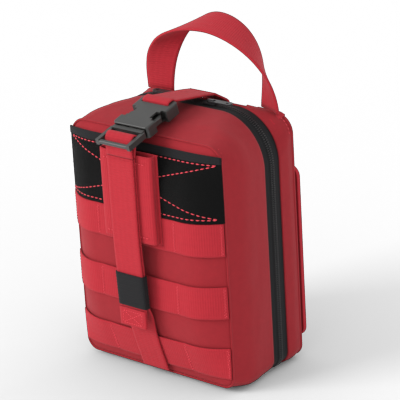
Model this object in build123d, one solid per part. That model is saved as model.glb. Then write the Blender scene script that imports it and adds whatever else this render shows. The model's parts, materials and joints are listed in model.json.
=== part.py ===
"""First aid kit: a soft clamshell pouch on a rip-away carrier panel.

Frame: +Z up, the front faces -Y, the origin is on the resting plane under the middle of the pouch.
All sizes are in millimetres.
"""
from build123d import *
from math import cos, sin, radians, pi
import os

# ---- driving dimensions of the pouch ----
WALL = 2.5                 # padded fabric
HALF_W = 76.0              # half width at the zip
TOP = 206.0                # height of the zip arch
FRONT = -41.0              # front seam plane
REAR = 41.0                # rear seam plane
ZIP_Y = 15.0               # plane where the two coils meet, and where the bottom folds
ZIP_FRONT = 6.0            # visible edges of the zip tapes
ZIP_REAR = 24.0
ARCH_R = 40.0              # top corners of the zip arch
FOOT_R = 12.0              # bottom corners
HINGE_GAP = 0.4            # each side of the fold line at the bottom
SLIDER_X = 19.0            # the two zip sliders, closed

# ---- webbing and fabric trim ----
WEB_W = 25.4
WEB_T = 1.4
ROW_BOTTOMS = (12.5, 62.5, 112.5)     # one-inch rows, about one inch apart
ROW_HALF_LEN = 74.0
LOOP_BOTTOM = 138.5
LOOP_TOP = 189.0
SKIN = 1.1                 # how far a sewn-on layer stands off the front panel

# ---- buckle ----
BUCKLE_TILT = 16.5         # degrees down towards the front
MOUTH_Y = -55.5
MOUTH_Z = 202.0
SOCKET_LEN = 38.0
SOCKET_HALF_W = 17.0
SOCKET_HALF_T = 4.7
CAVITY_HALF_W = 15.4
CAVITY_HALF_T = 3.3
CAVITY_DEPTH = 25.0
BAR_R = 1.8

# ---- handle ----
HANDLE_X = 55.0            # legs
HANDLE_Y = 41.0
HANDLE_FOOT_Z = 201.0
HANDLE_TOP_Z = 264.0

# ---- carrier panel ----
PANEL_HALF_W = 73.0
PANEL_BOTTOM = 15.0
PANEL_TOP = 155.0
CROWN_REAR = 45.0          # back of the rear panel at its middle
PILE_T = 1.2               # each half of the hook and loop pair
PANEL_T = 3.0


def on_front(y):
    """Sketch plane at depth y: sketch X is X, sketch Y is Z."""
    return Plane(origin=(0, y, 0), x_dir=(1, 0, 0), z_dir=(0, -1, 0))


def outline(y, half_w, low, high, r_top, r_low):
    """Rounded rectangle standing at depth y."""
    face = Pos(0, (low + high) / 2) * Rectangle(2 * half_w, high - low)
    face = fillet(face.vertices().group_by(Axis.Y)[-1], r_top)
    face = fillet(face.vertices().group_by(Axis.Y)[0], r_low)
    return on_front(y) * face


def stack(sections):
    """Solid whose walls run straight from each section to the next."""
    solid = None
    for a, b in zip(sections, sections[1:]):
        piece = loft([outline(*a), outline(*b)], ruled=True)
        solid = piece if solid is None else solid + piece
    return solid


def box(x0, x1, y0, y1, z0, z1):
    return Pos((x0 + x1) / 2, (y0 + y1) / 2, (z0 + z1) / 2) * Box(x1 - x0, y1 - y0, z1 - z0)


def zip_outline(y, inset):
    """The zip arch at depth y, drawn in from the outer face by inset."""
    return (y, HALF_W - inset, inset, TOP - inset, ARCH_R - inset, FOOT_R - inset)


def front_form(off, rim_y):
    """The front half as a solid, grown outwards by off."""
    return stack([
        (-55 - off, 48 + off, 58 - off, 160 + off, 30 + off, 30 + off),
        (-49 - off, 66 + off, 24 - off, 184 + off, 25 + off, 22 + off),
        (FRONT - 0.5 * off, 75 + off, 4 - off, 196 + off, 14 + off, 10 + off),
        (-22, 80 + off, -off, 202 + off, 30 + off, 11 + off),
        zip_outline(ZIP_FRONT, -off),
        zip_outline(rim_y, -off),
    ])


def rear_form(off, rim_y):
    """The rear half as a solid, grown outwards by off."""
    return stack([
        zip_outline(rim_y, -off),
        zip_outline(ZIP_REAR, -off),
        (REAR + 0.5 * off, 75 + off, 2 - off, 198 + off, 14 + off, 10 + off),
        (CROWN_REAR + off, 58 + off, 22 - off, 176 + off, 20 + off, 20 + off),
    ])


def front_shell():
    shell = front_form(0, ZIP_FRONT + 0.001) - front_form(-WALL, ZIP_FRONT + 4)
    fold_strip = box(-62, 62, ZIP_FRONT - 3, ZIP_Y - HINGE_GAP, 0, WALL)
    return shell + fold_strip


def rear_shell():
    shell = rear_form(0, ZIP_REAR - 0.001) - rear_form(-WALL, ZIP_REAR - 4)
    fold_strip = box(-62, 62, ZIP_Y + HINGE_GAP, ZIP_REAR + 3, 0, WALL)
    return shell + fold_strip


def zip_band(y0, y1, inset_out, inset_in):
    """A band that follows the zip arch from one bottom corner over the top to the other."""
    outer = stack([zip_outline(y0, inset_out), zip_outline(y1, inset_out)])
    inner = stack([zip_outline(y0 - 1, inset_in), zip_outline(y1 + 1, inset_in)])
    foot_gap = box(-63, 63, y0 - 1, y1 + 1, -5, FOOT_R + 2)
    return outer - inner - foot_gap


def front_skin(x_half, low, high, thick=SKIN):
    """A flat layer sewn on the front panel between two heights, following its crown."""
    layer = front_form(thick, ZIP_Y) - front_form(0, ZIP_Y + 1)
    return layer & box(-x_half, x_half, -70, FRONT + 1.5, low, high)


def ribbon(points, thick, half_w):
    """Webbing that runs through points of the YZ plane, half_w each side of X = 0."""
    strip = None
    for (ya, za), (yb, zb) in zip(points, points[1:]):
        run = Vector(0, yb - ya, zb - za)
        plane = Plane(origin=(0, (ya + yb) / 2, (za + zb) / 2), x_dir=(1, 0, 0), z_dir=run)
        leg = extrude(plane * Rectangle(2 * half_w, thick), run.length / 2, both=True)
        bend = Pos(0, yb, zb) * Rot(0, 90, 0) * Cylinder(thick / 2, 2 * half_w)
        leg = leg if (yb, zb) == points[-1] else leg + bend
        strip = leg if strip is None else strip + leg
    return strip


# ---- buckle, drawn flat with its mouth at the origin and the socket towards +Y ----
BUCKLE = Plane(
    origin=(0, MOUTH_Y, MOUTH_Z),
    x_dir=(1, 0, 0),
    z_dir=(0, -sin(radians(BUCKLE_TILT)), cos(radians(BUCKLE_TILT))),
)


def place(solid):
    return BUCKLE.location * solid


def buckle_point(along, up=0.0):
    """Row-frame (Y, Z) of a point on the buckle's middle plane."""
    t = radians(BUCKLE_TILT)
    return (MOUTH_Y + along * cos(t) - up * sin(t), MOUTH_Z + along * sin(t) + up * cos(t))


WAIST_HALF_W = 9.6         # of the socket between its two finger windows
WINDOW = (10.0, 23.5)
STRAP_SLOT = (30.0, 34.2)
PLUG_BAR = -20.0           # front bar
LOCK_BAR = -10.5           # bar that grips the strap


def socket():
    body = box(-SOCKET_HALF_W, SOCKET_HALF_W, 0, SOCKET_LEN, -SOCKET_HALF_T, SOCKET_HALF_T)
    body = fillet(body.edges().filter_by(Axis.Z), 3.0)
    body = fillet(body.faces().sort_by(Axis.Z)[-1].edges(), 1.2)
    cavity = box(-CAVITY_HALF_W, CAVITY_HALF_W, -1, CAVITY_DEPTH, -CAVITY_HALF_T, CAVITY_HALF_T)
    slot = box(-13.2, 13.2, *STRAP_SLOT, -6, 6)
    body = body - cavity - slot
    for side in (-1, 1):
        middle = (WINDOW[0] + WINDOW[1]) / 2
        span = WINDOW[1] - WINDOW[0]
        notch = Pos(side * (WAIST_HALF_W + 10), middle, 0) * Box(20, span - 5, 12)
        ends = Pos(side * (WAIST_HALF_W + 10.5), middle, 0) * Box(15, span, 12)
        body = body - notch - ends
    return place(body)


def plug_frame():
    """Guide tongue, root and an open frame whose front bar and lock bar carry the strap."""
    root = box(-15.0, 15.0, -4.5, -0.6, -2.8, 2.8)
    guide = box(-2.6, 2.6, -1, 19, -1.3, 1.3)
    frame = root + guide
    for side in (-1, 1):
        frame += Pos(side * 15.2, -12.0, 0) * Box(3.2, 19, 4.6)
        frame += Pos(side * 14.3, -3.0, 0) * Box(2.2, 3.0, 4.6)
    frame += Pos(0, PLUG_BAR, 0) * Rot(0, 90, 0) * Cylinder(BAR_R, 33.6)
    frame += Pos(0, LOCK_BAR, 0) * Rot(0, 90, 0) * Cylinder(BAR_R - 0.2, 28)
    return place(frame)


ARM_PIVOT_X = 8.0
ARM_PIVOT_ALONG = 1.0


def latch_arm(side):
    """Springy side arm: a narrow root, a bow outwards and a ribbed grip that fills the window."""
    shape = Polyline(
        (6.7, -0.3), (9.3, -0.3), (10.6, 6.0), (13.4, 8.6), (15.0, 10.2), (15.1, 18.5),
        (12.0, 22.6), (10.4, 21.6), (11.6, 17.0), (10.4, 11.0), (7.4, 7.0), close=True)
    arm = extrude(make_face(shape), 1.9, both=True)
    if side < 0:
        arm = mirror(arm, Plane.YZ)
    return place(arm)


# ---- straps ----
TAIL_END = 48.0
KEEPER = (64.5, 91.0)
STRAP_SPLIT = 185.2        # the loop round the lock bar rides with the plug above this height
STRAP_UP = [(-43.6, 4.8), (-52.0, 22.5), (-57.8, 57.0), (-63.5, 64.0), (-66.9, 120.0)]
STRAP_DOWN = [(-69.1, 120.0), (-65.9, 62.0)]


def front_strap():
    """The fixed end, from the bottom seam up the front."""
    return ribbon(STRAP_UP + [(-67.0, STRAP_SPLIT - 0.4)], WEB_T, WEB_W / 2)


def strap_loop():
    """The stretch that runs up behind the front bar, round the lock bar and back down."""
    lock_y, lock_z = buckle_point(LOCK_BAR)
    reach = 3.3
    points = [
        (-67.0, STRAP_SPLIT),
        (-65.6, 192.6),
        (lock_y + 0.6, lock_z - reach),
        (lock_y + reach, lock_z + 0.2),
        (lock_y - 0.2, lock_z + reach),
        (lock_y - 4.5, lock_z + 0.4),
        (-69.6, 192.0),
        (-69.3, STRAP_SPLIT - 1.6),
    ]
    return ribbon(points, WEB_T, WEB_W / 2)


def strap_tail():
    """The free end, which hangs down in front of the fixed end to its doubled, sewn tip."""
    hanging = ribbon([(-69.3, STRAP_SPLIT - 2.0)] + STRAP_DOWN, WEB_T, WEB_W / 2)
    tip = box(-WEB_W / 2 - 0.3, WEB_W / 2 + 0.3, -67.5, -64.2, TAIL_END, TAIL_END + 14.2)
    return hanging + fillet(tip.edges().filter_by(Axis.Y), 1.0)


def strap_keeper():
    """Elastic band round both layers of the strap."""
    low, high = KEEPER
    lean = 3.2 / 58.0 * 180 / pi
    outer = box(-14.4, 14.4, -3.4, 3.4, low, high)
    inner = box(-13.1, 13.1, -2.2, 2.2, low - 1, high + 1)
    ring = fillet(outer.edges().filter_by(Axis.Z), 1.6) - inner
    pivot = (low + high) / 2
    return Pos(0, -65.6, pivot) * Rot(lean, 0, 0) * Pos(0, 0, -pivot) * ring


SLEEVE = (118.0, 187.0)


def shears_sleeve():
    """Flat tunnel behind the strap that holds a pair of shears, open at the top."""
    low, high = SLEEVE
    tube = box(-26, 26, -65.9, -57.0, low, high)
    tube = fillet(tube.edges().filter_by(Axis.Z), 3.0)
    return tube - box(-24.6, 24.6, -64.5, -58.2, low - 1, high + 1)


STRAP_PIVOT_Y = 27.0
STRAP_PIVOT_Z = 209.4


def upper_strap():
    """From over the rear panel across the zip to the socket's rear bar, doubled round it."""
    end = SOCKET_LEN + 1.5
    slot = STRAP_SLOT[0] + 1.7
    points = [
        (STRAP_PIVOT_Y - 1.2, STRAP_PIVOT_Z),
        (ZIP_Y, 211.4),
        buckle_point(end, 3.0),
        buckle_point(end - 1.3, 5.6),
        buckle_point(slot + 0.8, 5.9),
        buckle_point(slot, 4.8),
        buckle_point(slot, -4.0),
    ]
    return ribbon(points, WEB_T, WEB_W / 2)


def upper_strap_anchor():
    """The sewn end of the upper strap, down the back of the rear panel."""
    points = [(STRAP_PIVOT_Y, STRAP_PIVOT_Z), (42.6, 199.8), (43.6, 194.0), (46.6, 177.0)]
    return ribbon(points, WEB_T, WEB_W / 2)


def handle_tab(x):
    """Where a leg of the handle is sewn to the top of the rear half."""
    patch = rear_form(WEB_T, ZIP_Y) - rear_form(0, ZIP_Y - 1)
    return patch & box(x - WEB_W / 2, x + WEB_W / 2, 29, 42.2, 170, 205)


def handle_section(t):
    """Cross-section of the handle at t from 0 (left foot) to 1 (right foot)."""
    a = pi * t
    rise = HANDLE_TOP_Z - HANDLE_FOOT_Z
    centre = Vector(-HANDLE_X * cos(a) * (0.86 + 0.14 * abs(cos(a))), HANDLE_Y, HANDLE_FOOT_Z + rise * sin(a) ** 0.72)
    across = Vector(-cos(a), -sin(a), -0.35 * sin(a) ** 2).normalized()
    step = 0.02
    b = pi * min(1.0, t + step)
    c = pi * max(0.0, t - step)
    ahead = Vector(-HANDLE_X * cos(b), 0, rise * sin(b) ** 0.72)
    behind = Vector(-HANDLE_X * cos(c), 0, rise * sin(c) ** 0.72)
    along = (ahead - behind).normalized()
    plane = Plane(origin=centre, x_dir=across, z_dir=along)
    return plane * Rectangle(WEB_W, WEB_T)


def carry_handle():
    sections = [handle_section(i / 16) for i in range(17)]
    return loft(sections, ruled=True)


def zip_slider(x):
    """Slider body: a plate above the coils and one below the tapes, joined by a post."""
    top_plate = box(x - 6, x + 6, ZIP_Y - 4.2, ZIP_Y + 4.2, TOP + 0.6, TOP + 1.6)
    top_plate = fillet(top_plate.edges().filter_by(Axis.Z), 2.0)
    low_plate = box(x - 6, x + 6, ZIP_Y - 4.2, ZIP_Y + 4.2, TOP - 3.8, TOP - 2.8)
    low_plate = fillet(low_plate.edges().filter_by(Axis.Z), 2.0)
    post = box(x - 1.5, x + 1.5, ZIP_Y - 0.5, ZIP_Y + 0.5, TOP - 3.8, TOP + 1.6)
    bridge = box(x - 3, x + 3, ZIP_Y - 1.2, ZIP_Y + 1.2, TOP + 1.6, TOP + 3.5)
    bore = Pos(x, ZIP_Y, TOP + 2.45) * Rot(90, 0, 0) * Cylinder(0.6, 6)
    return top_plate + low_plate + post + bridge - bore


def zip_pull(x, side):
    """Flat pull that hangs on the slider's bridge by a cross pin."""
    z = TOP + 2.45
    pin = Pos(x, ZIP_Y, z) * Rot(90, 0, 0) * Cylinder(0.5, 6.2)
    arms = box(-0.55, 5.2, ZIP_Y - 3.0, ZIP_Y - 1.5, z - 0.5, z + 0.5)
    arms += box(-0.55, 5.2, ZIP_Y + 1.5, ZIP_Y + 3.0, z - 0.5, z + 0.5)
    blade = box(4.0, 20.0, ZIP_Y - 3.0, ZIP_Y + 3.0, z - 0.5, z + 0.5)
    blade = fillet(blade.edges().filter_by(Axis.Z).sort_by(Axis.X)[-2:], 2.4)
    blade -= Pos(16, ZIP_Y, z) * Cylinder(1.3, 3)
    pull = arms + blade
    if side < 0:
        pull = mirror(pull, Plane.YZ)
    return Pos(x, 0, 0) * pull + pin


# ---- carrier panel, which stays on the owner's vest or pack ----
def slab(half_w, y0, y1, low, high, radius):
    plate = box(-half_w, half_w, y0, y1, low, high)
    return fillet(plate.edges().filter_by(Axis.Y), radius)


PANEL_Y = CROWN_REAR + 2 * PILE_T
LADDER_Y = PANEL_Y + PANEL_T
LADDER_ROWS = (25.0, 75.0, 125.0)
ATTACH_X = (-38.1, 38.1)


def ladder_row(low):
    return slab(PANEL_HALF_W - 2, LADDER_Y, LADDER_Y + WEB_T, low, low + WEB_W, 0.6)


def attach_strap(x):
    """Strap that weaves through the owner's webbing; it is sewn under the panel's top edge."""
    y = LADDER_Y + WEB_T
    strip = box(x - 12.7, x + 12.7, y, y + 1.6, 20, 152)
    return fillet(strip.edges().filter_by(Axis.Y), 2.0)


def snap(x):
    y = LADDER_Y + WEB_T + 1.6
    cap = Pos(x, y + 0.9, 30) * Rot(90, 0, 0) * Cylinder(6.2, 1.8)
    return fillet(cap.faces().sort_by(Axis.Y)[-1].edges(), 0.8)


# ---- inside ----
POCKET_Y = REAR - WALL + 1.1


def roll(x, z, radius, length):
    """A rolled bandage standing on its end."""
    body = Pos(x, POCKET_Y - radius - 1.6, z) * Cylinder(radius, length)
    return fillet(body.edges(), 2.0)


def elastic_loops(half, y0, y1, z0, z1, cells):
    """An elastic band sewn down between its loops: a row of open cells."""
    band = box(-half, half, y0, y1, z0, z1)
    cell = 2 * half / cells
    for i in range(cells):
        left = -half + i * cell + 1.2
        band -= box(left, left + cell - 2.4, y0 + 1.0, y1 - 1.0, z0 - 1, z1 + 1)
    return band


FRONT_LOOPS_Y = (-52.2, -38.0)
TUBE_Y = -45.1


def tube(x, radius, low, high):
    """A capped tube that stands in one of the front loops."""
    body = Pos(x, TUBE_Y, (low + high) / 2) * Cylinder(radius, high - low)
    cap = Pos(x, TUBE_Y, high + 5) * Cylinder(radius - 1.2, 12)
    return fillet(body.edges(), 1.0) + fillet(cap.edges(), 0.8)


def tweezers(x):
    """Two sprung legs joined at the top."""
    legs = box(x - 4, x - 2.8, TUBE_Y - 3, TUBE_Y + 3, 58, 142)
    legs += box(x + 2.8, x + 4, TUBE_Y - 3, TUBE_Y + 3, 58, 142)
    return legs + box(x - 4, x + 4, TUBE_Y - 3, TUBE_Y + 3, 138, 150)


def rear_pocket():
    """Flat pocket across the lower half of the rear panel, open at the top."""
    pouch = box(-53, 53, POCKET_Y - 18.2, POCKET_Y, 14, 72)
    return pouch - box(-51.8, 51.8, POCKET_Y - 17, POCKET_Y - 1.2, 15.2, 73)


def pack(x, z, half_w, half_h, y_back, thick):
    body = box(x - half_w, x + half_w, y_back - thick, y_back, z - half_h, z + half_h)
    return fillet(body.edges(), 2.5)


def build():
    parts = {
        "front_shell": front_shell(),
        "rear_shell": rear_shell(),
        "front_zip_tape": zip_band(ZIP_FRONT + 0.002, ZIP_Y - 0.8, 1.3, 2.2),
        "rear_zip_tape": zip_band(ZIP_Y + 0.8, ZIP_REAR - 0.002, 1.3, 2.2),
        "front_zip_coil": zip_band(ZIP_Y - 2.4, ZIP_Y - 0.8, 0.0, 1.3),
        "rear_zip_coil": zip_band(ZIP_Y + 0.8, ZIP_Y + 2.4, 0.0, 1.3),
        "zip_slider_left": zip_slider(-SLIDER_X),
        "zip_slider_right": zip_slider(SLIDER_X),
        "zip_pull_left": zip_pull(-SLIDER_X, -1),
        "zip_pull_right": zip_pull(SLIDER_X, 1),
        "loop_field": front_skin(ROW_HALF_LEN + 1, LOOP_BOTTOM, LOOP_TOP),
        "shears_sleeve": shears_sleeve(),
        "front_strap": front_strap(),
        "strap_loop": strap_loop(),
        "strap_tail": strap_tail(),
        "strap_keeper": strap_keeper(),
        "buckle_socket": socket(),
        "buckle_plug": plug_frame(),
        "latch_arm_left": latch_arm(-1),
        "latch_arm_right": latch_arm(1),
        "upper_strap": upper_strap(),
        "upper_strap_anchor": upper_strap_anchor(),
        "carry_handle": carry_handle(),
        "pouch_loop_pad": slab(56, CROWN_REAR, CROWN_REAR + PILE_T, 26, 150, 4),
        "panel_hook_pad": slab(56, CROWN_REAR + PILE_T, PANEL_Y, 26, 150, 4),
        "carrier_panel": slab(PANEL_HALF_W, PANEL_Y, LADDER_Y, PANEL_BOTTOM, PANEL_TOP, 8),
        "front_elastic_loops": elastic_loops(44, *FRONT_LOOPS_Y, 88, 114, 4),
        "rear_elastic_loops": elastic_loops(66, POCKET_Y - 30.5, POCKET_Y, 130, 155, 4),
        "antiseptic_tube": tube(-33, 5.6, 66, 128),
        "ointment_tube": tube(-11, 5.6, 66, 128),
        "penlight": tube(11, 4.6, 62, 136),
        "tweezers": tweezers(33),
        "rear_pocket": rear_pocket(),
        "gauze_roll_left": roll(-49.5, 142, 13.6, 74),
        "gauze_roll_right": roll(-16.5, 142, 13.6, 74),
        "cohesive_wrap": roll(16.5, 135, 13.6, 50),
        "wound_dressing": pack(0, 54, 50, 38, POCKET_Y - 1.6, 15),
        "adhesive_strips_box": pack(49.5, 142, 13.5, 36, POCKET_Y - 1.4, 22),
    }
    for name, low in zip(("bottom", "middle", "top"), ROW_BOTTOMS):
        parts[f"webbing_row_{name}"] = front_skin(ROW_HALF_LEN, low, low + WEB_W)
    for name, low in zip(("bottom", "middle", "top"), LADDER_ROWS):
        parts[f"carrier_row_{name}"] = ladder_row(low)
    for name, x in zip(("left", "right"), ATTACH_X):
        parts[f"handle_tab_{name}"] = handle_tab(HANDLE_X if name == "right" else -HANDLE_X)
        parts[f"attach_strap_{name}"] = attach_strap(x)
        parts[f"attach_snap_{name}"] = snap(x)
    return parts


os.makedirs("parts", exist_ok=True)
for node, solid in build().items():
    export_step(solid, f"parts/{node}.step")
    size = solid.bounding_box().size
    print(f"{node}: {len(solid.solids())} solid, {size.X:.1f} x {size.Y:.1f} x {size.Z:.1f}")
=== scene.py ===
"""First aid kit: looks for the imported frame.

Sizes in this file are in millimetres and are turned into metres when a mesh is made.
Every soft piece is a grid of points: rows run along the piece, columns run across it.
"""
import json
from math import cos, pi, radians, sin

import bmesh
import bpy
import numpy as np
from mathutils import Matrix, Vector, noise


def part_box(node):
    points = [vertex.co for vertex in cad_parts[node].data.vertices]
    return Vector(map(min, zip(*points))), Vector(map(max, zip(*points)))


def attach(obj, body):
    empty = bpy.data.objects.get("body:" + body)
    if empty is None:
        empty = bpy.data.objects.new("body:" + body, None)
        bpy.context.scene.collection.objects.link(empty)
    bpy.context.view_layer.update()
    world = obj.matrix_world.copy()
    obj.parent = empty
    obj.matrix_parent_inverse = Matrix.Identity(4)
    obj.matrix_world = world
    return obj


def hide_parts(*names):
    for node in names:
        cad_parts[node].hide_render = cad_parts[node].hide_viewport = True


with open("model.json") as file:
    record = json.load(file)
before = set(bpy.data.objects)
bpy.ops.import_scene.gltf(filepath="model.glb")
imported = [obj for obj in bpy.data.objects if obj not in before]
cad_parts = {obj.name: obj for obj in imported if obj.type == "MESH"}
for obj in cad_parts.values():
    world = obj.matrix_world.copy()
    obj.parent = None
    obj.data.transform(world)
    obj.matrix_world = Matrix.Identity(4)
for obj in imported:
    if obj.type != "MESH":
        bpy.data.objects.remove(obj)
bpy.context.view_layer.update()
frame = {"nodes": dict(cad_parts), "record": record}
MM = 0.001

# ---- driving sizes, the same as the solids' ----
HALF_W = 76.0
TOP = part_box("front_shell")[1][2] / MM
FRONT, REAR, ZIP_Y = -41.0, 41.0, 15.0      # depth of each panel's seam and of the zip
ARCH_R, FOOT_R = 40.0, 12.0
WEB_W, WEB_T = 25.4, 1.4
ROWS = {"bottom": 12.5, "middle": 62.5, "top": 112.5}      # foot of each webbing row
ROW_HALF = 74.0
TACK_PITCH = 38.1
LOOP_LOW, LOOP_HIGH = 138.5, 189.0
CROWN = 15.0               # how far the front panel stands out of its seam
SOFT = 0.7                 # height of the folds in the shell fabric
LINING = 2.0               # thickness of the shells, outer cloth to lining
# half width, low, high, top and low corner radius of the zip and of the two panels' seams
ZIP_RING = (HALF_W, 0.0, TOP, ARCH_R, FOOT_R)
FRONT_PANEL = (FRONT, 75.0, 4.0, 196.0, 14, 10)
REAR_PANEL = (REAR, 75.0, 2.0, 198.0, 14, 10)


def cad_box(name):
    """The box of a CAD node in mm, as x0, x1, y0, y1, z0, z1."""
    low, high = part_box(name)
    return low[0] / MM, high[0] / MM, low[1] / MM, high[1] / MM, low[2] / MM, high[2] / MM


# ---------------------------------------------------------------- materials
def new_material(name, colour, rough, sheen=0.0):
    mat = bpy.data.materials.new(name)
    mat.use_nodes = True
    shader = mat.node_tree.nodes["Principled BSDF"]
    shader.inputs["Base Color"].default_value = (*colour, 1)
    shader.inputs["Roughness"].default_value = rough
    shader.inputs["Sheen Weight"].default_value = sheen
    mat.diffuse_color = (*colour, 1)
    return mat, mat.node_tree, shader


def node(tree, kind, **values):
    made = tree.nodes.new(kind)
    for key, value in values.items():
        if key in made.inputs:
            made.inputs[key].default_value = value
        else:
            setattr(made, key, value)
    return made


def math_node(tree, operation, a, b):
    made = node(tree, "ShaderNodeMath", operation=operation)
    for socket, value in zip(made.inputs, (a, b)):
        if isinstance(value, (int, float)):
            socket.default_value = value
        else:
            tree.links.new(value, socket)
    return made.outputs[0]


def bands(tree, axis_value, period):
    """A sine from 0 to 1 with that period in mm along one coordinate in mm."""
    phase = math_node(tree, "MULTIPLY", axis_value, 2 * pi / period)
    wave = math_node(tree, "SINE", phase, 0.0)
    half = math_node(tree, "MULTIPLY", wave, 0.5)
    return math_node(tree, "ADD", half, 0.5)


def tint(tree, shader, colour, amount, source, spread=1.0):
    """Varies the base colour between darker and lighter by a 0 to 1 value."""
    ramp = node(tree, "ShaderNodeMix", data_type="RGBA")
    dark = [c * (1 - amount) for c in colour]
    light = [min(1.0, c * (1 + amount * spread)) for c in colour]
    ramp.inputs["A"].default_value = (*dark, 1)
    ramp.inputs["B"].default_value = (*light, 1)
    tree.links.new(source, ramp.inputs["Factor"])
    tree.links.new(ramp.outputs["Result"], shader.inputs["Base Color"])


def add_bump(tree, shader, height, strength, distance_mm):
    made = node(tree, "ShaderNodeBump", Strength=strength, Distance=distance_mm * MM)
    tree.links.new(height, made.inputs["Height"])
    tree.links.new(made.outputs["Normal"], shader.inputs["Normal"])


def cloth(name, colour, warp, weft, rough=0.9, sheen=0.03, depth=0.25, mottle=0.22):
    """Woven cloth: threads along both directions of the piece's own length coordinates."""
    mat, tree, shader = new_material(name, colour, rough, sheen)
    shader.inputs["Sheen Roughness"].default_value = 0.5
    shader.inputs["Specular IOR Level"].default_value = 0.25
    place = node(tree, "ShaderNodeUVMap")
    split = node(tree, "ShaderNodeSeparateXYZ")
    tree.links.new(place.outputs[0], split.inputs[0])
    along = math_node(tree, "MULTIPLY", split.outputs[0], 1 / MM)
    across = math_node(tree, "MULTIPLY", split.outputs[1], 1 / MM)
    a = bands(tree, along, warp)
    b = bands(tree, across, weft)
    weave = math_node(tree, "MULTIPLY", a, 0.65)
    weave = math_node(tree, "ADD", weave, math_node(tree, "MULTIPLY", b, 0.35))
    where = node(tree, "ShaderNodeTexCoord")
    wear = node(tree, "ShaderNodeTexNoise", Scale=160.0, Detail=6.0, Roughness=0.8)
    tree.links.new(where.outputs["Object"], wear.inputs["Vector"])
    mix = math_node(tree, "MULTIPLY", wear.outputs["Fac"], 0.75)
    mix = math_node(tree, "ADD", mix, math_node(tree, "MULTIPLY", weave, 0.25))
    tint(tree, shader, colour, mottle, mix)
    add_bump(tree, shader, weave, 0.6, depth)
    return mat


def pile(name, colour, grain):
    """Hook and loop pile: a fuzz of tiny loops."""
    mat, tree, shader = new_material(name, colour, 0.95, 0.04)
    shader.inputs["Sheen Roughness"].default_value = 0.4
    shader.inputs["Specular IOR Level"].default_value = 0.04
    where = node(tree, "ShaderNodeTexCoord")
    fuzz = node(tree, "ShaderNodeTexNoise", Scale=grain, Detail=6.0, Roughness=0.75)
    tree.links.new(where.outputs["Object"], fuzz.inputs["Vector"])
    tint(tree, shader, colour, 0.6, fuzz.outputs["Fac"], 2.0)
    add_bump(tree, shader, fuzz.outputs["Fac"], 1.0, 0.9)
    return mat


def moulded(name, colour, rough, grain=900.0, metal=0.0):
    """Moulded or plated hard part with a fine surface grain."""
    mat, tree, shader = new_material(name, colour, rough)
    shader.inputs["Metallic"].default_value = metal
    where = node(tree, "ShaderNodeTexCoord")
    grainy = node(tree, "ShaderNodeTexNoise", Scale=grain, Detail=3.0)
    smear = node(tree, "ShaderNodeTexNoise", Scale=60.0, Detail=4.0)
    for texture in (grainy, smear):
        tree.links.new(where.outputs["Object"], texture.inputs["Vector"])
    tint(tree, shader, colour, 0.15, smear.outputs["Fac"])
    base = math_node(tree, "MULTIPLY", smear.outputs["Fac"], 0.25)
    tree.links.new(math_node(tree, "ADD", base, rough - 0.12), shader.inputs["Roughness"])
    add_bump(tree, shader, grainy.outputs["Fac"], 0.25, 0.15)
    return mat


RED_CLOTH = (0.25, 0.011, 0.017)
RED_WEB = (0.33, 0.013, 0.022)
BLACK = (0.006, 0.006, 0.007)
MATS = {
    "red_fabric": cloth("red_fabric", RED_CLOTH, 0.9, 0.9, depth=0.15),
    "red_webbing": cloth("red_webbing", RED_WEB, 1.9, 5.0, depth=0.35, mottle=0.16),
    "red_thread": cloth("red_thread", (0.62, 0.05, 0.07), 0.6, 0.6, rough=0.6),
    "zip_tape": cloth("zip_tape", BLACK, 1.2, 2.2, depth=0.3),
    "zip_coil": moulded("zip_coil", BLACK, 0.45),
    "black_loop": pile("black_loop", (0.004, 0.004, 0.004), 1400.0),
    "black_elastic": cloth("black_elastic", BLACK, 1.1, 1.6, depth=0.35),
    "black_plastic": moulded("black_plastic", (0.022, 0.022, 0.021), 0.42),
    "slider_metal": moulded("slider_metal", (0.03, 0.03, 0.032), 0.4, metal=0.6),
    "grey_lining": cloth("grey_lining", (0.16, 0.16, 0.17), 0.9, 0.9),
    "white_gauze": cloth("white_gauze", (0.82, 0.80, 0.76), 1.4, 1.4, depth=0.5),
    "tan_wrap": cloth("tan_wrap", (0.50, 0.33, 0.20), 0.8, 2.4, depth=0.6),
    "dressing_wrapper": moulded("dressing_wrapper", (0.72, 0.75, 0.78), 0.35, 200.0),
    "plain_card": moulded("plain_card", (0.80, 0.77, 0.70), 0.6, 300.0),
    "white_plastic": moulded("white_plastic", (0.8, 0.8, 0.8), 0.35),
    "steel": moulded("steel", (0.62, 0.62, 0.64), 0.3, 500.0, metal=1.0),
}


# ---------------------------------------------------------------- mesh helpers
def mesh_piece(name, verts, faces, slot, body, uv=None):
    """A mesh object from points in mm, with its material, riding on a body."""
    data = bpy.data.meshes.new(name)
    data.from_pydata((np.asarray(verts, float) * MM).tolist(), [], faces)
    if uv is not None:
        layer = data.uv_layers.new(name="length")
        loops = np.empty(len(data.loops), np.int32)
        data.loops.foreach_get("vertex_index", loops)
        layer.data.foreach_set("uv", (np.asarray(uv, float)[loops] * MM).ravel())
    obj = bpy.data.objects.new(name, data)
    bpy.context.scene.collection.objects.link(obj)
    work = bmesh.new()
    work.from_mesh(data)
    bmesh.ops.recalc_face_normals(work, faces=work.faces)
    work.to_mesh(data)
    work.free()
    data.polygons.foreach_set("use_smooth", [True] * len(data.polygons))
    data.materials.append(MATS[slot])
    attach(obj, body)
    return obj


def grid_normals(grid, loop_rows=False):
    """Unit normals of a grid of points."""
    if loop_rows:
        along = np.roll(grid, -1, 0) - np.roll(grid, 1, 0)
    else:
        along = np.gradient(grid, axis=0)
    across = np.gradient(grid, axis=1)
    n = np.cross(along, across)
    return n / np.maximum(np.linalg.norm(n, axis=2, keepdims=True), 1e-9)


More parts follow.
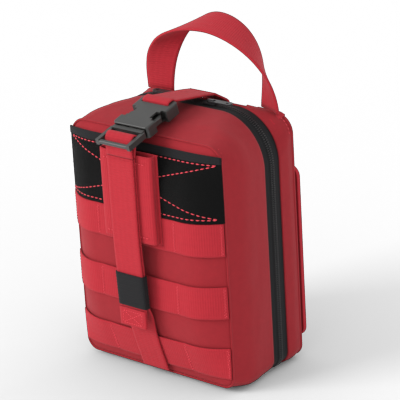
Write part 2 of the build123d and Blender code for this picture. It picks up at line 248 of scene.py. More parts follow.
def lengths(grid):
    """Length coordinates in mm along the rows and across the columns of a grid."""
    du = np.linalg.norm(np.diff(grid, axis=0), axis=2).mean(1)
    dv = np.linalg.norm(np.diff(grid, axis=1), axis=2).mean(0)
    u = np.concatenate([[0], np.cumsum(du)])
    v = np.concatenate([[0], np.cumsum(dv)])
    return np.stack(np.meshgrid(u, v, indexing="ij"), -1)


def layer(name, grid, thick, slot, body, loop_rows=False, out=0.5):
    """A closed layer of cloth or webbing with rounded edges.

    out is the share of thick on the normal's side.
    """
    grid = np.asarray(grid, float)
    n = grid_normals(grid, loop_rows)
    rows, cols = grid.shape[:2]
    shoulder = 0.22 * thick
    upper = grid + n * thick * out
    lower = grid - n * thick * (1 - out)
    across = grid[:, -1] - grid[:, -2]
    across /= np.linalg.norm(across, axis=1, keepdims=True)
    back = grid[:, 0] - grid[:, 1]
    back /= np.linalg.norm(back, axis=1, keepdims=True)
    right = (upper[:, -1] + lower[:, -1]) / 2 + across * shoulder
    left = (upper[:, 0] + lower[:, 0]) / 2 + back * shoulder
    ring = np.concatenate(
        [upper, right[:, None], lower[:, ::-1], left[:, None]], axis=1)
    count = ring.shape[1]
    flat = lengths(grid)
    uv = np.concatenate(
        [flat, flat[:, -1:], flat[:, ::-1], flat[:, :1]], axis=1)
    faces = []
    last = rows if loop_rows else rows - 1
    for i in range(last):
        k = (i + 1) % rows
        for j in range(count):
            m = (j + 1) % count
            faces.append((i * count + j, i * count + m, k * count + m, k * count + j))
    if not loop_rows:
        faces.append(tuple(range(count)))
        faces.append(tuple((rows - 1) * count + j for j in reversed(range(count))))
    return mesh_piece(name, ring.reshape(-1, 3), faces, slot, body, uv.reshape(-1, 2))


def smooth_path(points, per_leg=8, rounds=3):
    """Points of a path made dense and then rounded at its corners; the ends stay."""
    points = np.asarray(points, float)
    dense = []
    for a, b in zip(points, points[1:]):
        for t in np.arange(per_leg) / per_leg:
            dense.append(a + (b - a) * t)
    dense.append(points[-1])
    dense = np.array(dense)
    for _ in range(rounds):
        dense[1:-1] = (dense[:-2] + 2 * dense[1:-1] + dense[2:]) / 4
    return dense


def ribbon(name, yz, slot, body, half_w=WEB_W / 2, thick=WEB_T, per_leg=8):
    """Webbing along a path in the YZ plane, in mm."""
    path = smooth_path(yz, per_leg)
    xs = np.linspace(-half_w, half_w, 13)
    grid = np.zeros((len(path), len(xs), 3))
    grid[:, :, 0] = xs
    grid[:, :, 1] = path[:, None, 0]
    grid[:, :, 2] = path[:, None, 1]
    return layer(name, grid, thick, slot, body)


def stitches(name, path, normals, body, slot="red_thread", length=2.6, gap=1.5, width=0.55):
    """A row of thread stitches along a path that lies on a surface."""
    path = np.asarray(path, float)
    normals = np.asarray(normals, float)
    step = np.linalg.norm(np.diff(path, axis=0), axis=1)
    run = np.concatenate([[0], np.cumsum(step)])
    verts, faces = [], []
    at = gap
    while at + length < run[-1]:
        ends = [at, at + length / 2, at + length]
        p = np.array([[np.interp(s, run, path[:, k]) for k in range(3)] for s in ends])
        n = np.array([np.interp(ends[1], run, normals[:, k]) for k in range(3)])
        n /= np.linalg.norm(n)
        t = p[2] - p[0]
        t /= np.linalg.norm(t)
        b = np.cross(n, t)
        base = len(verts)
        for point, lift, wide in ((p[0], -0.15, 0.45), (p[1], 0.2, 1.0), (p[2], -0.15, 0.45)):
            for k in range(6):
                a = 2 * pi * k / 6
                verts.append(
                    point + n * lift + b * cos(a) * width * wide + n * sin(a) * width * wide * 0.7)
        for i in range(2):
            for k in range(6):
                m = (k + 1) % 6
                faces.append((base + i * 6 + k, base + i * 6 + m,
                              base + (i + 1) * 6 + m, base + (i + 1) * 6 + k))
        faces.append(tuple(base + k for k in reversed(range(6))))
        faces.append(tuple(base + 12 + k for k in range(6)))
        at += length + gap
    return mesh_piece(name, verts, faces, slot, body)


def rounded(x0, x1, y0, y1, z0, z1, r, name, slot, body, pillow=0.0, corner=None):
    """A soft block: a box with round edges whose broad faces may swell by pillow mm.

    corner is the radius of the outline's four corners.
    """
    work = bmesh.new()
    bmesh.ops.create_cube(work, size=1.0)
    size = Vector((x1 - x0, y1 - y0, z1 - z0))
    middle = Vector(((x0 + x1) / 2, (y0 + y1) / 2, (z0 + z1) / 2))
    for v in work.verts:
        v.co = Vector(v.co[k] * size[k] for k in range(3)) + middle
    if corner:
        thin = min(range(3), key=lambda k: size[k])
        upright = [e for e in work.edges
                   if abs((e.verts[0].co - e.verts[1].co)[thin]) > size[thin] * 0.9]
        bmesh.ops.bevel(work, geom=upright, offset=corner, segments=6, profile=0.5, affect="EDGES")
    bmesh.ops.bevel(work, geom=work.edges[:], offset=r, segments=3, profile=0.5, affect="EDGES",
                    clamp_overlap=True)
    if pillow:
        widest = max(f.calc_area() for f in work.faces)
        big = [f for f in work.faces if f.calc_area() > 0.15 * widest]
        edges = list({e for f in big for e in f.edges})
        bmesh.ops.subdivide_edges(work, edges=edges, cuts=10, use_grid_fill=True)
    verts = np.array([v.co[:] for v in work.verts])
    if pillow:
        thin = int(np.argmin(size))
        others = [k for k in range(3) if k != thin]
        rel = (verts - np.array(middle)) / (np.array(size) / 2)
        dome = np.prod([1 - np.clip(np.abs(rel[:, k]), 0, 1) ** 2.4 for k in others], axis=0)
        verts[:, thin] += pillow * dome * np.sign(rel[:, thin])
    work.verts.index_update()
    faces = [[v.index for v in f.verts] for f in work.faces]
    work.free()
    broad = [k for k in range(3) if k != int(np.argmin(size))]
    return mesh_piece(name, verts, faces, slot, body, verts[:, broad])


# ---------------------------------------------------------------- the pouch's shape
def ring(y, half_w, low, high, r_top, r_low):
    """Points of a rounded rectangle at depth y, counter-clockwise from the middle of the bottom.

    Every ring has the same number of points on each stretch, so rings can be joined.
    """
    def line(a, b, n):
        return [(a[0] + (b[0] - a[0]) * i / n, a[1] + (b[1] - a[1]) * i / n) for i in range(n)]

    def arc(cx, cz, r, a0, a1, n):
        steps = [a0 + (a1 - a0) * i / n for i in range(n)]
        return [(cx + r * cos(a), cz + r * sin(a)) for a in steps]

    w = half_w
    points = line((0, low), (w - r_low, low), 20)
    points += arc(w - r_low, low + r_low, r_low, -pi / 2, 0, 14)
    points += line((w, low + r_low), (w, high - r_top), 44)
    points += arc(w - r_top, high - r_top, r_top, 0, pi / 2, 28)
    points += line((w - r_top, high), (0, high), 20)
    points += [(-x, z) for x, z in [(0.0, high)] + points[1:][::-1]]
    return np.array([(x, y, z) for x, z in points])


def blend_rings(sections, steps):
    """Rings between key sections, eased so that the cloth runs smoothly through them."""
    keys = [ring(*s) for s in sections]
    out = []
    for i, (a, b) in enumerate(zip(keys, keys[1:])):
        before = keys[i - 1] if i else 2 * a - b
        after = keys[i + 2] if i + 2 < len(keys) else 2 * b - a
        for k in range(steps):
            t = k / steps
            m0 = (b - before) / 2
            m1 = (after - a) / 2
            h = (2 * t**3 - 3 * t**2 + 1, t**3 - 2 * t**2 + t, -2 * t**3 + 3 * t**2, t**3 - t**2)
            out.append(h[0] * a + h[1] * m0 + h[2] * b + h[3] * m1)
    out.append(keys[-1])
    return np.array(out)


def soft_folds(grid, normals, height, seed, stretch=(0.022, 0.03, 0.012)):
    """Shallow folds in the cloth that fade out at the grid's first and last ring."""
    rings = grid.shape[0]
    fade = np.sin(np.linspace(0, pi, rings)) ** 0.7
    moved = grid.copy()
    for i in range(rings):
        for j in range(grid.shape[1]):
            p = grid[i, j]
            at = Vector((p[0] * stretch[0], p[1] * stretch[1] + seed, p[2] * stretch[2]))
            value = noise.fractal(at * 1.6, 0.9, 2.1, 3)
            moved[i, j] += normals[i, j] * value * height * fade[i]
    return moved


def crown(x, z):
    """Depth of the front panel's face."""
    def rise(t):
        t = np.clip(t, 0, 1)
        return 1 - (1 - t) ** 2

    side = rise((75.0 - np.abs(x)) / 30)
    low = np.sin(pi / 2 * np.clip((z - 4.0) / 62, 0, 1)) ** 1.1
    high = rise((196.0 - z) / 40)
    return FRONT - CROWN * side * low * high


def crown_normals(points):
    step = 0.5
    x, z = points[..., 0], points[..., 2]
    dx = (crown(x + step, z) - crown(x - step, z)) / (2 * step)
    dz = (crown(x, z + step) - crown(x, z - step)) / (2 * step)
    n = np.stack([dx, -np.ones_like(dx), dz], -1)
    return n / np.linalg.norm(n, axis=-1, keepdims=True)


def on_crown(points_xz, lift):
    """Points on the front panel at x, z, standing lift mm off it."""
    flat = np.asarray(points_xz, float)
    p = np.stack([flat[..., 0], crown(flat[..., 0], flat[..., 1]), flat[..., 1]], -1)
    return p + crown_normals(p) * lift


def panel_rings(section, count):
    """Rings that shrink from a panel's seam to its middle."""
    edge = ring(*section)
    centre = np.array([0, edge[0, 1], (section[2] + section[3]) / 2])
    rings = []
    for t in np.linspace(1, 0.04, count):
        rings.append(centre + (edge - centre) * [t, 1, t])
    return np.array(rings)


def closed_rings(name, grid, slot, body):
    """A shell from rings, given thickness inwards, with its lining on the inside."""
    rows, cols = grid.shape[:2]
    faces = []
    for i in range(rows - 1):
        for j in range(cols):
            m = (j + 1) % cols
            faces.append((i * cols + j, i * cols + m, (i + 1) * cols + m, (i + 1) * cols + j))
    faces.append(tuple((rows - 1) * cols + j for j in range(cols)))
    u = np.concatenate([[0], np.cumsum(np.linalg.norm(np.diff(grid[:, 40], axis=0), axis=1))])
    around = np.linalg.norm(np.diff(grid[0], axis=0), axis=1)
    v = np.concatenate([[0], np.cumsum(around)])
    uv = np.stack(np.meshgrid(u, v, indexing="ij"), -1)
    obj = mesh_piece(name, grid.reshape(-1, 3), faces, slot, body, uv.reshape(-1, 2))
    obj.data.materials.append(MATS["grey_lining"])
    solid = obj.modifiers.new("lining", "SOLIDIFY")
    solid.thickness = LINING * MM
    solid.offset = -1
    solid.material_offset = 1
    return obj


def shells():
    """Both halves' red cloth, from the zip to the seam and over the panel, with their seams."""
    front_sections = [
        (6.0, *ZIP_RING),
        (-8.0, 78.5, 0.0, 204.5, 36, 11.5),
        (-24.0, 79.5, 0.4, 201.5, 26, 11),
        FRONT_PANEL,
    ]
    side = blend_rings(front_sections, 9)
    side[:, :, 2] = np.maximum(side[:, :, 2], 0.0)
    n = grid_normals(side.transpose(1, 0, 2), True).transpose(1, 0, 2)
    if n[10, 50] @ np.array([1.0, 0, 0]) < 0:
        n = -n
    side = soft_folds(side, n, SOFT, 3.1)
    side[:, :, 2] = np.maximum(side[:, :, 2], 0.0)
    face = panel_rings(FRONT_PANEL, 34)
    face[:, :, 1] = crown(face[:, :, 0], face[:, :, 2])
    grid = np.concatenate([side, face[1:]])
    front = closed_rings("front_pouch_fabric", grid, "red_fabric", "front_half")
    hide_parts("front_shell")
    seam_piping("front_seam", side[-1], "front_half", n[-1])

    rear_sections = [
        (24.0, *ZIP_RING),
        (33.0, 76.8, 0.6, 202.5, 27, 11),
        REAR_PANEL,
    ]
    side = blend_rings(rear_sections, 7)
    n = grid_normals(side.transpose(1, 0, 2), True).transpose(1, 0, 2)
    if n[5, 50] @ np.array([1.0, 0, 0]) < 0:
        n = -n
    side = soft_folds(side, n, SOFT * 0.7, 9.4)
    side[:, :, 2] = np.maximum(side[:, :, 2], 0.0)
    face = panel_rings(REAR_PANEL, 20)
    x, z = face[:, :, 0], face[:, :, 2]
    dome = np.clip((75 - np.abs(x)) / 17, 0, 1) * np.clip((z - 2) / 20, 0, 1)
    dome = dome * np.clip((198 - z) / 22, 0, 1)
    face[:, :, 1] = REAR + 3.8 * dome
    grid = np.concatenate([side, face[1:]])
    rear = closed_rings("rear_pouch_fabric", grid, "red_fabric", "rear_half")
    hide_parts("rear_shell")
    seam_piping("rear_seam", side[-1], "rear_half", n[-1])
    fold_strips()


def seam_piping(name, edge, body, normals):
    """The bound seam where a panel meets its gusset, and the stitch line beside it."""
    r = 1.0
    rows = []
    out = edge - edge.mean(0)
    out /= np.linalg.norm(out, axis=1, keepdims=True)
    depth = np.array([0, 1.0 if edge[0, 1] > 0 else -1.0, 0])
    for k in range(8):
        a = 2 * pi * k / 8
        rows.append(edge + out * r * cos(a) * 0.8 + depth * r * sin(a) * 1.1)
    grid = np.array(rows).transpose(1, 0, 2)
    grid[:, :, 2] = np.maximum(grid[:, :, 2], 0.3)
    cols, count = grid.shape[:2]
    faces = []
    for i in range(cols):
        k = (i + 1) % cols
        for j in range(count):
            m = (j + 1) % count
            faces.append((i * count + j, i * count + m, k * count + m, k * count + j))
    mesh_piece(f"{name}_piping", grid.reshape(-1, 3), faces, "red_fabric", body)
    line = edge - depth * 3.2 + normals * 0.15
    upper = np.array([p for p in range(len(line)) if line[p][2] > 8])
    first = int(np.argmax(np.diff(np.concatenate([[upper[0] - 2], upper])) > 1))
    order = np.roll(upper, -first)
    stitches(f"{name}_topstitch", line[order], normals[order], body, "red_thread", 2.2, 1.1, 0.3)


def fold_strips():
    """The red cloth that joins the halves along the bottom, split at the fold line."""
    for name, body, y0, y1 in (
        ("front_foot_fold", "front_half", 5.0, ZIP_Y - 0.3),
        ("rear_foot_fold", "rear_half", ZIP_Y + 0.3, 25.0),
    ):
        rounded(-63, 63, y0, y1, 0.02, 2.2, 0.4, name, "red_fabric", body)


# ---------------------------------------------------------------- the zip
def arch_path(y, inset, count=420):
    """The zip's path at depth y, evenly spaced: right foot, over the top, left foot."""
    w, low, high, r_top, r_low = ZIP_RING
    full = ring(y, w - inset, low + inset, high - inset, r_top - inset, r_low - inset)
    start = 20
    path = full[start: len(full) - start + 1]
    step = np.linalg.norm(np.diff(path, axis=0), axis=1)
    run = np.concatenate([[0], np.cumsum(step)])
    at = np.linspace(0, run[-1], count)
    return np.stack([np.interp(at, run, path[:, k]) for k in range(3)], -1)


def zip_half(side, body, y_shell, y_meet):
    """One tape with its row of teeth."""
    depths = np.linspace(y_shell, y_meet, 9)
    grid = np.stack([arch_path(y, 1.5 - 0.5 * (i / 8) ** 2) for i, y in enumerate(depths)], 1)
    tape = layer(f"{side}_zip_tape_cloth", grid, 0.8, "zip_tape", body)
    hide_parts(f"{side}_zip_tape")
    sign = 1 if y_meet > y_shell else -1
    centre = arch_path(y_meet - 0.9 * sign, 0.4, 900)
    step = np.linalg.norm(np.diff(centre, axis=0), axis=1).mean()
    every = max(1, round(1.55 / step))
    first = 0 if sign > 0 else every // 2
    verts, faces = [], []
    for i in range(first + 1, len(centre) - 1, every):
        along = centre[i + 1] - centre[i - 1]
        along /= np.linalg.norm(along)
        out = np.cross(along, [0, 1, 0])
        if out @ (centre[i] - [0, centre[i][1], 100]) < 0:
            out = -out
        base = len(verts)
        for y, r in ((-1.3, 0.25), (-1.0, 0.5), (0.7, 0.55), (1.15, 0.35)):
            for k in range(6):
                a = 2 * pi * k / 6
                verts.append(centre[i] + np.array([0, y * sign, 0])
                             + along * cos(a) * r * 0.9 + out * sin(a) * r)
        for q in range(3):
            for k in range(6):
                m = (k + 1) % 6
                faces.append((base + q * 6 + k, base + q * 6 + m,
                              base + (q + 1) * 6 + m, base + (q + 1) * 6 + k))
        faces.append(tuple(base + k for k in reversed(range(6))))
        faces.append(tuple(base + 18 + k for k in range(6)))
    teeth = mesh_piece(f"{side}_zip_teeth", verts, faces, "zip_coil", body)
    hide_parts(f"{side}_zip_coil")


# ---------------------------------------------------------------- front trim
def webbing_rows():
    """Three rows of webbing, standing off between their stitch columns."""
    for name, low in ROWS.items():
        xs = np.linspace(-ROW_HALF, ROW_HALF, 150)
        zs = np.linspace(low, low + WEB_W, 15)
        flat = np.stack(np.meshgrid(xs, zs, indexing="ij"), -1)
        lift = 0.75 + 0.75 * np.abs(np.sin(pi * xs / TACK_PITCH)) ** 0.6
        grid = on_crown(flat, lift[:, None, None])
        row = layer(f"webbing_{name}", grid, 1.1, "red_webbing", "front_half")
        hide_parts(f"webbing_row_{name}")
        for k, x in enumerate((-TACK_PITCH, 0.0, TACK_PITCH, -72.4, 72.4)):
            line = [(x + (0.9 if i % 2 else -0.9), low + 1.2 + i * 1.15) for i in range(21)]
            path = on_crown(line, 1.55)
            stitches(f"webbing_{name}_tack_{k}", path, crown_normals(path), "front_half",
                     length=1.25, gap=0.15, width=0.32)


def loop_field():
    """The black pile above the rows, with its stitching and folded edge."""
    half = ROW_HALF + 1
    xs = np.linspace(-half, half, 130)
    zs = np.linspace(LOOP_LOW, LOOP_HIGH, 46)
    flat = np.stack(np.meshgrid(xs, zs, indexing="ij"), -1)
    grid = on_crown(flat, 0.75)
    for i in range(grid.shape[0]):
        for j in range(grid.shape[1]):
            grid[i, j, 1] += 0.18 * noise.noise(Vector(grid[i, j]) * 0.9)
    field = layer("loop_pile", grid, 1.1, "black_loop", "front_half")
    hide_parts("loop_field")
    edge = 3.0
    x0, x1, z0, z1 = -half + edge, half - edge, LOOP_LOW + edge, LOOP_HIGH - edge - 3
    runs = {
        "top": ((x0, z1), (x1, z1)),
        "foot": ((x0, z0), (x1, z0)),
        "rising": ((x0, z0), (x1, z1)),
        "falling": ((x0, z1), (x1, z0)),
    }
    for name, (a, b) in runs.items():
        t = np.linspace(0, 1, 60)[:, None]
        path = on_crown(np.array(a) * (1 - t) + np.array(b) * t, 1.35)
        stitches(f"loop_stitch_{name}", path, crown_normals(path), "front_half",
                 length=3.0, gap=1.3, width=0.5)
    t = np.linspace(-half, half, 90)
    hem = np.stack([t, np.full_like(t, LOOP_HIGH - 2.2)], -1)
    band = np.stack([on_crown(hem + [0, dz], 1.5) for dz in np.linspace(-2.6, 2.6, 6)], 1)
    layer("loop_folded_edge", band, 0.9, "black_elastic", "front_half")


def sleeve():
    """The flat shears sleeve behind the strap, hemmed top and bottom."""
    x0, x1, y0, y1, z0, z1 = cad_box("shears_sleeve")
    levels = np.linspace(z0, z1, 36)
    half_w, mid, half_t = (x1 - x0) / 2 - 0.6, (y0 + y1) / 2, (y1 - y0) / 2 - 0.5
    rings = []
    for z in levels:
        t = (z - z0) / (z1 - z0)
        swell = 0.25 * sin(pi * t) - (0.25 if min(t, 1 - t) < 0.09 else 0.0)
        loop = []
        for k in range(72):
            a = 2 * pi * k / 72
            c, s = cos(a), sin(a)
            loop.append((
                half_w * abs(c) ** 0.35 * (1 if c >= 0 else -1),
                mid + (half_t + swell) * abs(s) ** 0.5 * (1 if s >= 0 else -1),
                z))
        rings.append(loop)
    grid = np.array(rings).transpose(1, 0, 2)
    tube = layer("shears_sleeve_cloth", grid, 0.9, "red_webbing", "front_half", loop_rows=True)
    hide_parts("shears_sleeve")
    for name, z in (("low", z0 + 5), ("high", z1 - 6)):
        xs = np.linspace(-half_w + 4, half_w - 4, 30)
        path = np.stack([xs, np.full_like(xs, mid - half_t - 0.75), np.full_like(xs, z)], -1)
        stitches(f"sleeve_hem_{name}", path, np.tile([0, -1.0, 0], (30, 1)), "front_half",
                 length=2.2, gap=1.0, width=0.3)
    xs = np.linspace(-half_w - 1.6, half_w + 1.6, 24)
    zs = np.linspace(z0 - 1.5, z1 + 0.5, 30)
    grid = np.array([[(x, y1 - 1.4, z) for z in zs] for x in xs])
    layer("sleeve_base_cloth", grid, 0.9, "red_webbing", "front_half")


# ---------------------------------------------------------------- straps and buckle
TILT = radians(16.5)       # the buckle's lean
MOUTH = (-55.5, 202.0)     # y, z of the socket's mouth
SPLIT = 185.2              # height where the front strap becomes the loop


def buckle_point(along, up=0.0):
    """y, z of a point along mm into the socket from its mouth and up mm above its middle."""
    return (MOUTH[0] + along * cos(TILT) - up * sin(TILT),
            MOUTH[1] + along * sin(TILT) + up * cos(TILT))


def straps():
    """The front strap, its loop through the buckle, its free end and the upper strap."""
    up = [(float(crown(0.0, z)) - 3.4, z) for z in (6.0, 16.0, 28.0, 42.0, 56.0)]
    up += [(-63.5, 66.0), (-66.9, 120.0), (-67.0, SPLIT - 0.4)]
    strap = ribbon("front_strap_webbing", up, "red_webbing", "front_half", per_leg=12)
    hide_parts("front_strap")
    lock_y, lock_z = buckle_point(-10.5)
    loop = [(-67.0, SPLIT), (-65.6, 192.6)]
    centre_turn = []
    for k in range(9):
        a = radians(-75 + 215 * k / 8)
        centre_turn.append((lock_y + 3.3 * cos(a), lock_z + 3.3 * sin(a)))
    loop += centre_turn + [(-70.6, 197.6), (-69.6, 192.0), (-69.3, SPLIT)]
    piece = ribbon("strap_loop_webbing", loop, "red_webbing", "plug", per_leg=4)
    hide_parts("strap_loop")
    tail = [(-69.3, SPLIT - 0.4), (-69.1, 120.0), (-65.9, 62.0), (-65.8, 50.0)]
    piece = ribbon("strap_tail_webbing", tail, "red_webbing", "front_half", per_leg=12)
    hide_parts("strap_tail")
    tip = [(-67.4, 62.4), (-67.0, 54.0), (-67.0, 47.8)]
    ribbon("strap_tail_tip", tip, "red_webbing", "front_half", half_w=12.9)
    box_stitch("tail_box", -9.5, 9.5, 50.0, 60.0, -67.9, "front_half", (0, -1.0, 0))

    end, slot = 39.5, 31.7
    top = [
        (25.8, 209.4), (15.0, 211.4), buckle_point(end, 3.0), buckle_point(end - 1.3, 5.6),
        buckle_point(slot + 0.8, 5.9), buckle_point(slot, 4.8), buckle_point(slot, -4.0)]
    piece = ribbon("upper_strap_webbing", top, "red_webbing", "top_strap", per_leg=6)
    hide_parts("upper_strap")
    rear = [(27.0, 209.4), (42.6, 200.2), (43.8, 194.0), (46.6, 177.0)]
    piece = ribbon("upper_strap_rear", rear, "red_webbing", "rear_half", per_leg=8)
    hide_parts("upper_strap_anchor")
    box_stitch("rear_anchor_box", -9, 9, 179.5, 191, 46.3, "rear_half", (0, 1.0, 0.15), 0.18)


def box_stitch(name, x0, x1, z0, z1, y, body, normal, lean=0.0):
    """A box of stitching with a cross in it, lean being how far y falls per mm of height."""
    runs = [((x0, z0), (x1, z0)), ((x0, z1), (x1, z1)), ((x0, z0), (x0, z1)),
            ((x1, z0), (x1, z1)), ((x0, z0), (x1, z1)), ((x0, z1), (x1, z0))]
    for i, (a, b) in enumerate(runs):
        t = np.linspace(0, 1, 12)[:, None]
        flat = np.array(a) * (1 - t) + np.array(b) * t
        path = np.stack([flat[:, 0], y - lean * (flat[:, 1] - z0), flat[:, 1]], -1)
        stitches(f"{name}_{i}", path, np.tile(normal, (12, 1)), body, length=1.6, gap=0.7, width=0.28)


def keeper():
    """The elastic band round both layers of the strap."""
    low, high = 64.5, 91.0
    rings = []
    for z in np.linspace(low, high, 28):
        rib = 0.16 * sin(2 * pi * (z - low) / 2.4)
        loop = []
        for k in range(64):
            a = 2 * pi * k / 64
            c, s = cos(a), sin(a)
            lean = -65.6 - (z - (low + high) / 2) * 3.2 / 58
            y = lean + (2.8 + rib) * abs(s) ** 0.45 * (1 if s >= 0 else -1)
            loop.append(((13.8 + rib) * abs(c) ** 0.25 * (1 if c >= 0 else -1), y, z))
        rings.append(loop)
    grid = np.array(rings).transpose(1, 0, 2)
    band = layer("keeper_elastic", grid, 0.9, "black_elastic", "front_half", loop_rows=True)
    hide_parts("strap_keeper")


def handle():
    """The carry handle: flat at its feet, turned edge-on as it climbs, flat again on top."""
    x0, x1, y0, y1, z0, z1 = cad_box("carry_handle")
    foot, rise, mid_y, half = z0 - 1.5, z1 - z0 - 6, (y0 + y1) / 2, (x1 - x0 - WEB_W) / 2
    rows = []
    for t in np.linspace(0, 1, 110):
        a = pi * t
        spread = 0.86 + 0.14 * abs(cos(a))
        centre = np.array([-half * cos(a) * spread, mid_y, foot + rise * max(sin(a), 0) ** 0.72])
        twist = a if t < 0.5 else pi / 2 + radians(67) * (2 * t - 1) ** 1.6
        turn = np.array([-cos(twist), -sin(twist), -0.35 * sin(a) ** 2])
        turn /= np.linalg.norm(turn)
        cup = np.linspace(-1, 1, 13)
        rows.append([centre + turn * WEB_W / 2 * c for c in cup])
    grid = np.array(rows)
    strap = layer("carry_handle_webbing", grid, 1.7, "red_webbing", "handle")
    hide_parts("carry_handle")
    for name in ("left", "right"):
        x0, x1, y0, y1, z0, z1 = cad_box(f"handle_tab_{name}")
        xs = np.linspace(x0, x1, 9)
        ys = np.linspace(y0, y1, 12)
        grid = np.array([[(x, y, tab_height(x, y)) for x in xs] for y in ys])
        tab = layer(f"handle_tab_cloth_{name}", grid, 1.5, "red_webbing", "rear_half")
        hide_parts(f"handle_tab_{name}")


def tab_height(x, y):
    """Height of the rear half's top where a handle tab is sewn on."""
    t = (y - 24.0) / (REAR - 24.0)
    zip_z = TOP - ARCH_R + (ARCH_R**2 - max(abs(x) - (HALF_W - ARCH_R), 0) ** 2) ** 0.5
    over = max(abs(x) - 61.0, 0)
    seam_z = 184 + (14**2 - min(over, 13.9) ** 2) ** 0.5
    return zip_z + (seam_z - zip_z) * min(t, 1.0) + 1.0


# ---------------------------------------------------------------- carrier and insides
def carrier():
    """The rip-away panel behind the pouch, with its pads, webbing rows and two straps."""
    x0, x1, y0, y1, z0, z1 = cad_box("carrier_panel")
    panel = rounded(x0, x1, y0, y1, z0, z1, 1.2, "carrier_cloth", "red_fabric", "carrier", corner=8)
    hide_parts("carrier_panel")
    edge = ring((y0 + y1) / 2, x1 - 0.2, z0 + 0.2, z1 - 0.2, 8, 8)
    tape = np.stack([edge + [0, dy, 0] for dy in np.linspace(-1.5, 1.5, 5)], 1)
    layer("carrier_binding", tape, 0.9, "red_webbing", "carrier", loop_rows=True)
    for body, name in (("rear_half", "pouch_loop_pad"), ("carrier", "panel_hook_pad")):
        pad = rounded(*cad_box(name), 0.4, f"{name}_pile", "black_loop", body, corner=4)
        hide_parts(name)
    for name in ("bottom", "middle", "top"):
        x0, x1, y0, y1, z0, z1 = cad_box(f"carrier_row_{name}")
        xs = np.linspace(x0, x1, 90)
        zs = np.linspace(z0, z1, 12)
        mid = (y0 + y1) / 2
        grid = np.array([[(x, mid + 0.3 * abs(sin(pi * x / TACK_PITCH)), z) for z in zs]
                         for x in xs])
        row = layer(f"carrier_webbing_{name}", grid, 1.2, "red_webbing", "carrier")
        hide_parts(f"carrier_row_{name}")
        for k, x in enumerate((-70, -TACK_PITCH, 0, TACK_PITCH, 70)):
            line = np.array([(x + (0.8 if i % 2 else -0.8), y1 + 0.05, z0 + 1.4 + 1.15 * i)
                             for i in range(20)])
            stitches(f"carrier_{name}_tack_{k}", line, np.tile([0, 1.0, 0], (20, 1)), "carrier",
                     length=1.25, gap=0.15, width=0.3)
    for name in ("left", "right"):
        x0, x1, y0, y1, z0, z1 = cad_box(f"attach_strap_{name}")
        zs = np.linspace(z0, z1, 60)
        xs = np.linspace(x0, x1, 11)
        grid = np.array([[(x, (y0 + y1) / 2, z) for x in xs] for z in zs])
        strap = layer(f"attach_webbing_{name}", grid, 1.5, "red_webbing", "carrier")
        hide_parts(f"attach_strap_{name}")
        for k, z in enumerate((z1 - 3, z1 - 8)):
            line = np.array([(x, y1, z) for x in np.linspace(x0 + 2, x1 - 2, 20)])
            stitches(f"attach_{name}_seam_{k}", line, np.tile([0, 1.0, 0], (20, 1)), "carrier",
                     length=1.8, gap=0.8, width=0.3)


def roll_piece(name, slot, turns):
    """A rolled bandage: a lathe with wrap edges on its side and a spiral on its ends."""
    x0, x1, y0, y1, z0, z1 = cad_box(name)
    cx, cy, r = (x0 + x1) / 2, (y0 + y1) / 2, (x1 - x0) / 2 - 0.3
    rings = []
    profile = [(k * r / turns, z0 + 1 - 0.5 * (k % 2)) for k in range(1, turns)]
    profile += [(r - 1.2, z0 + 0.3), (r - 0.2, z0 + 1.4)]
    for k in range(14):
        profile.append((r - 0.25 * abs(sin(k * 1.7)), z0 + 2 + (z1 - z0 - 4) * k / 13))
    profile += [(r - 0.2, z1 - 1.4), (r - 1.2, z1 - 0.3)]
    profile += [(k * r / turns, z1 - 1 + 0.5 * (k % 2)) for k in reversed(range(1, turns))]
    for radius, z in profile:
        loop = []
        for k in range(48):
            a = 2 * pi * k / 48
            loop.append((cx + radius * cos(a), cy + radius * sin(a), z))
        rings.append(loop)
    grid = np.array(rings)
    rows, cols = grid.shape[:2]
    faces = []
    for i in range(rows - 1):
        for j in range(cols):
            m = (j + 1) % cols
            faces.append((i * cols + j, i * cols + m, (i + 1) * cols + m, (i + 1) * cols + j))
    faces.append(tuple(range(cols)))
    faces.append(tuple((rows - 1) * cols + j for j in reversed(range(cols))))
    uv = np.stack(np.meshgrid(np.arange(rows) * 3.0, np.arange(cols) * 1.8, indexing="ij"), -1)
    piece = mesh_piece(f"{name}_cloth", grid.reshape(-1, 3), faces, slot, "rear_half",
                       uv.reshape(-1, 2))
    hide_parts(name)


def elastic_band(name, body, cells):
    """A band sewn down between its loops, standing out round each item."""
    x0, x1, y0, y1, z0, z1 = cad_box(name)
    front = body == "front_half"
    wall = y0 + 0.6 if front else y1 - 0.6
    reach = (y1 - y0 - 1.2) * (1 if front else -1)
    xs = np.linspace(x0 + 0.5, x1 - 0.5, cells * 26)
    phase = (xs - x0) / (x1 - x0) * cells % 1
    swell = np.sin(pi * phase) ** 0.22
    zs = np.linspace(z0, z1, 14)
    grid = np.array([[(x, wall + reach * s, z) for z in zs] for x, s in zip(xs, swell)])
    band = layer(f"{name}_cloth", grid, 1.0, "black_elastic", body)
    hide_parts(name)


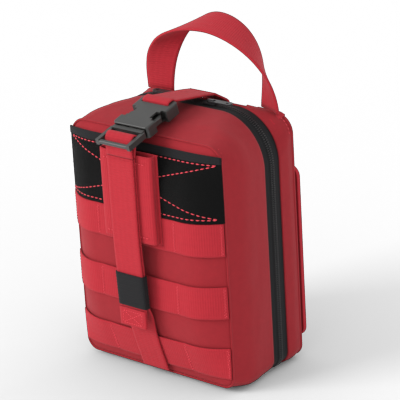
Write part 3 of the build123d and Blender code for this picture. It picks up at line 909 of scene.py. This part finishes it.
def insides():
    """The contents and what holds them."""
    elastic_band("front_elastic_loops", "front_half", 4)
    elastic_band("rear_elastic_loops", "rear_half", 4)
    roll_piece("gauze_roll_left", "white_gauze", 9)
    roll_piece("gauze_roll_right", "white_gauze", 9)
    roll_piece("cohesive_wrap", "tan_wrap", 7)
    x0, x1, y0, y1, z0, z1 = cad_box("wound_dressing")
    pack = rounded(x0 + 1, x1 - 1, y0 + 3, y1 - 3, z0 + 1, z1 - 1, 2.0, "wound_dressing_pack",
                   "dressing_wrapper", "rear_half", pillow=2.6, corner=3)
    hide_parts("wound_dressing")
    x0, x1, y0, y1, z0, z1 = cad_box("adhesive_strips_box")
    card = rounded(x0, x1, y0, y1, z0, z1, 0.6, "adhesive_strips_carton", "plain_card", "rear_half")
    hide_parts("adhesive_strips_box")
    x0, x1, y0, y1, z0, z1 = cad_box("rear_pocket")
    path = [(x0, y1), (x0 + 1, y0 + 3), (x0 + 5, y0 + 0.6)]
    path += [(x, y0 + 0.6) for x in np.linspace(x0 + 12, x1 - 12, 9)]
    path += [(x1 - 5, y0 + 0.6), (x1 - 1, y0 + 3), (x1, y1)]
    outline = smooth_path(path, 6)
    zs = np.linspace(z0 + 0.5, z1, 24)
    grid = np.array([[(p[0], p[1], z) for z in zs] for p in outline])
    pocket = layer("rear_pocket_cloth", grid, 0.8, "grey_lining", "rear_half")
    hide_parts("rear_pocket")
    zs = np.linspace(z1 - 8, z1 + 0.3, 6)
    hem = np.array([[(p[0], p[1] - 0.5, z) for z in zs] for p in outline])
    layer("rear_pocket_hem", hem, 0.8, "black_elastic", "rear_half")
    ys = np.linspace(y0 + 1, y1, 5)
    floor = np.array([[(x, y, z0 + 0.6) for y in ys] for x in np.linspace(x0 + 2, x1 - 2, 20)])
    layer("rear_pocket_floor", floor, 0.8, "grey_lining", "rear_half")


def finish_cad_parts():
    """Hard parts that keep their solids get a better material and soft edges."""
    for part in frame["record"]["subparts"]:
        obj = frame["nodes"][part["node"]]
        if obj.hide_render:
            continue
        obj.data.materials.clear()
        obj.data.materials.append(MATS[part["material_slot"]])
        bevel = obj.modifiers.new("edges", "BEVEL")
        bevel.width = 0.35 * MM
        bevel.segments = 2
        bevel.limit_method = "ANGLE"
        bevel.angle_limit = radians(35)
        bevel.harden_normals = False


# ---------------------------------------------------------------- camera, light, floor
def camera():
    """A long lens from the front right, a little above, rolled slightly."""
    azimuth, elevation, roll = radians(42.04), radians(20.88), radians(3.43)
    right = Vector((cos(azimuth), sin(azimuth), 0))
    back = Vector((sin(azimuth) * cos(elevation), -cos(azimuth) * cos(elevation), sin(elevation)))
    up = back.cross(right)
    target = Vector((0, -1, 95)) * MM
    place = target + back * 1.7258
    aim = target + (right * 12.0 + up * 31.9) * MM
    data = bpy.data.cameras.new("camera")
    data.sensor_width = 36
    data.lens = 200.4
    data.clip_start = 0.05
    data.clip_end = 20
    eye = bpy.data.objects.new("camera", data)
    bpy.context.scene.collection.objects.link(eye)
    turn = (aim - place).to_track_quat("-Z", "Y").to_matrix().to_4x4()
    eye.matrix_world = Matrix.Translation(place) @ turn @ Matrix.Rotation(-roll, 4, "Z")
    bpy.context.scene.camera = eye


def area_light(name, place, size, power):
    data = bpy.data.lights.new(name, "AREA")
    data.size = size
    data.energy = power
    lamp = bpy.data.objects.new(name, data)
    bpy.context.scene.collection.objects.link(lamp)
    lamp.location = place
    lamp.rotation_euler = (Vector((0, 0, 0.1)) - Vector(place)).to_track_quat("-Z", "Y").to_euler()


def studio():
    """A pale sky, three soft lights and a floor that catches only the shadow."""
    world = bpy.data.worlds.new("studio")
    bpy.context.scene.world = world
    world.use_nodes = True
    world.node_tree.nodes["Background"].inputs[0].default_value = (1, 1, 1, 1)
    world.node_tree.nodes["Background"].inputs[1].default_value = 1.0
    area_light("key", (-0.9, -1.5, 1.0), 0.9, 30)
    area_light("fill", (1.5, -0.6, 0.7), 1.2, 3)
    area_light("back", (0.2, 1.3, 1.0), 0.8, 4)
    bpy.ops.mesh.primitive_plane_add(size=6, location=(0, 0, -0.0004))
    floor = bpy.context.object
    floor.name = "studio_floor"
    mat = new_material("floor", (0.9, 0.9, 0.9), 0.9)[0]
    floor.data.materials.append(mat)
    floor.is_shadow_catcher = True
    bpy.context.scene.view_settings.view_transform = "Standard"


shells()
zip_half("front", "front_half", 5.0, ZIP_Y - 0.35)
zip_half("rear", "rear_half", 25.0, ZIP_Y + 0.35)
webbing_rows()
loop_field()
sleeve()
straps()
keeper()
handle()
carrier()
insides()
finish_cad_parts()
camera()
studio()
